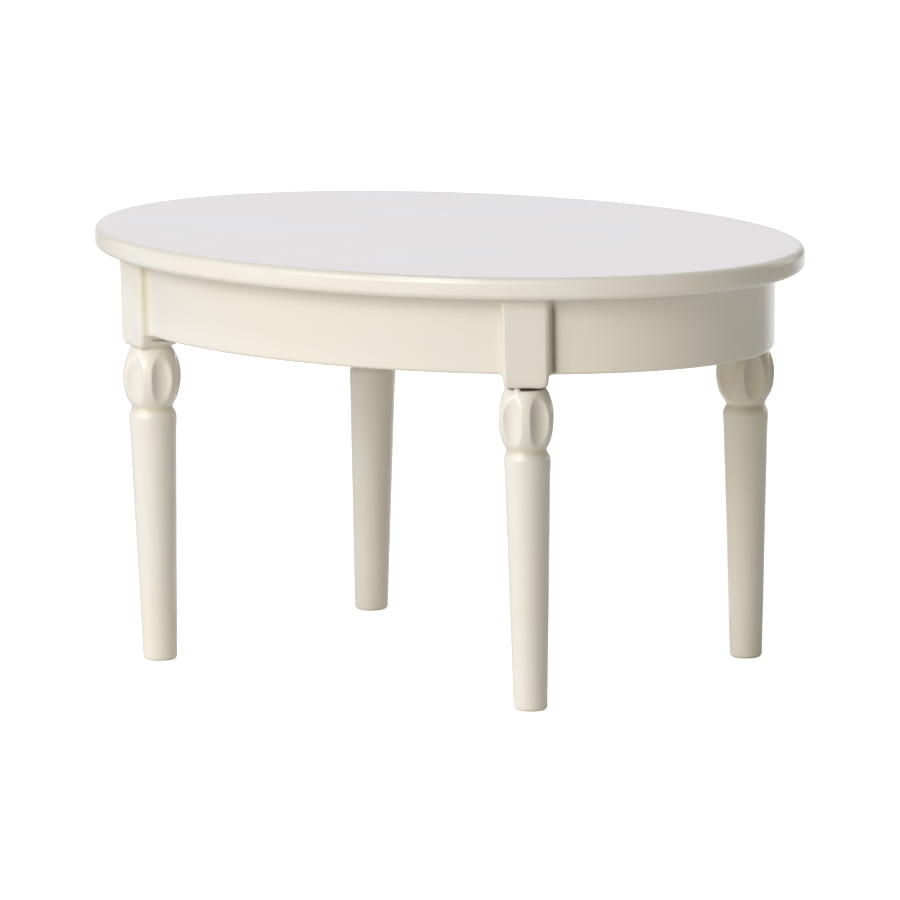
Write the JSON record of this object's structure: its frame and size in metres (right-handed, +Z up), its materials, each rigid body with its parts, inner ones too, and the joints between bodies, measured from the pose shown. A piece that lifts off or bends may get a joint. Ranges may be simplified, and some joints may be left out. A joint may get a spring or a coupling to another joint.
{
  "type": "miniature dining table",
  "caption": "Miniature oval dining table with an oval board on a curved apron, square leg blocks and turned, fluted legs, in cream gloss paint.",
  "frame": {"origin": "on the floor plane, under the centre of the oval top", "axes": "+X along the long axis of the oval, -Y toward the front long side, +Z up"},
  "size_m": [0.15, 0.1042, 0.0812],
  "materials": {
    "cream_paint_top": "wood painted in cream gloss enamel, levelled smooth",
    "cream_paint": "wood painted in cream gloss enamel, edges rounded by the coat",
    "bare_wood": "unpainted beech pins, hidden in the joints"
  },
  "bodies": {
    "root": {"table_top": "cream_paint_top", "apron_front": "cream_paint", "apron_back": "cream_paint", "apron_left": "cream_paint", "apron_right": "cream_paint", "leg_block_front_left": "cream_paint", "leg_block_front_right": "cream_paint", "leg_block_back_left": "cream_paint", "leg_block_back_right": "cream_paint", "leg_front_left": "cream_paint", "leg_front_right": "cream_paint", "leg_back_left": "cream_paint", "leg_back_right": "cream_paint", "apron_dowels": "bare_wood", "top_dowels": "bare_wood"}
  },
  "joints": []
}
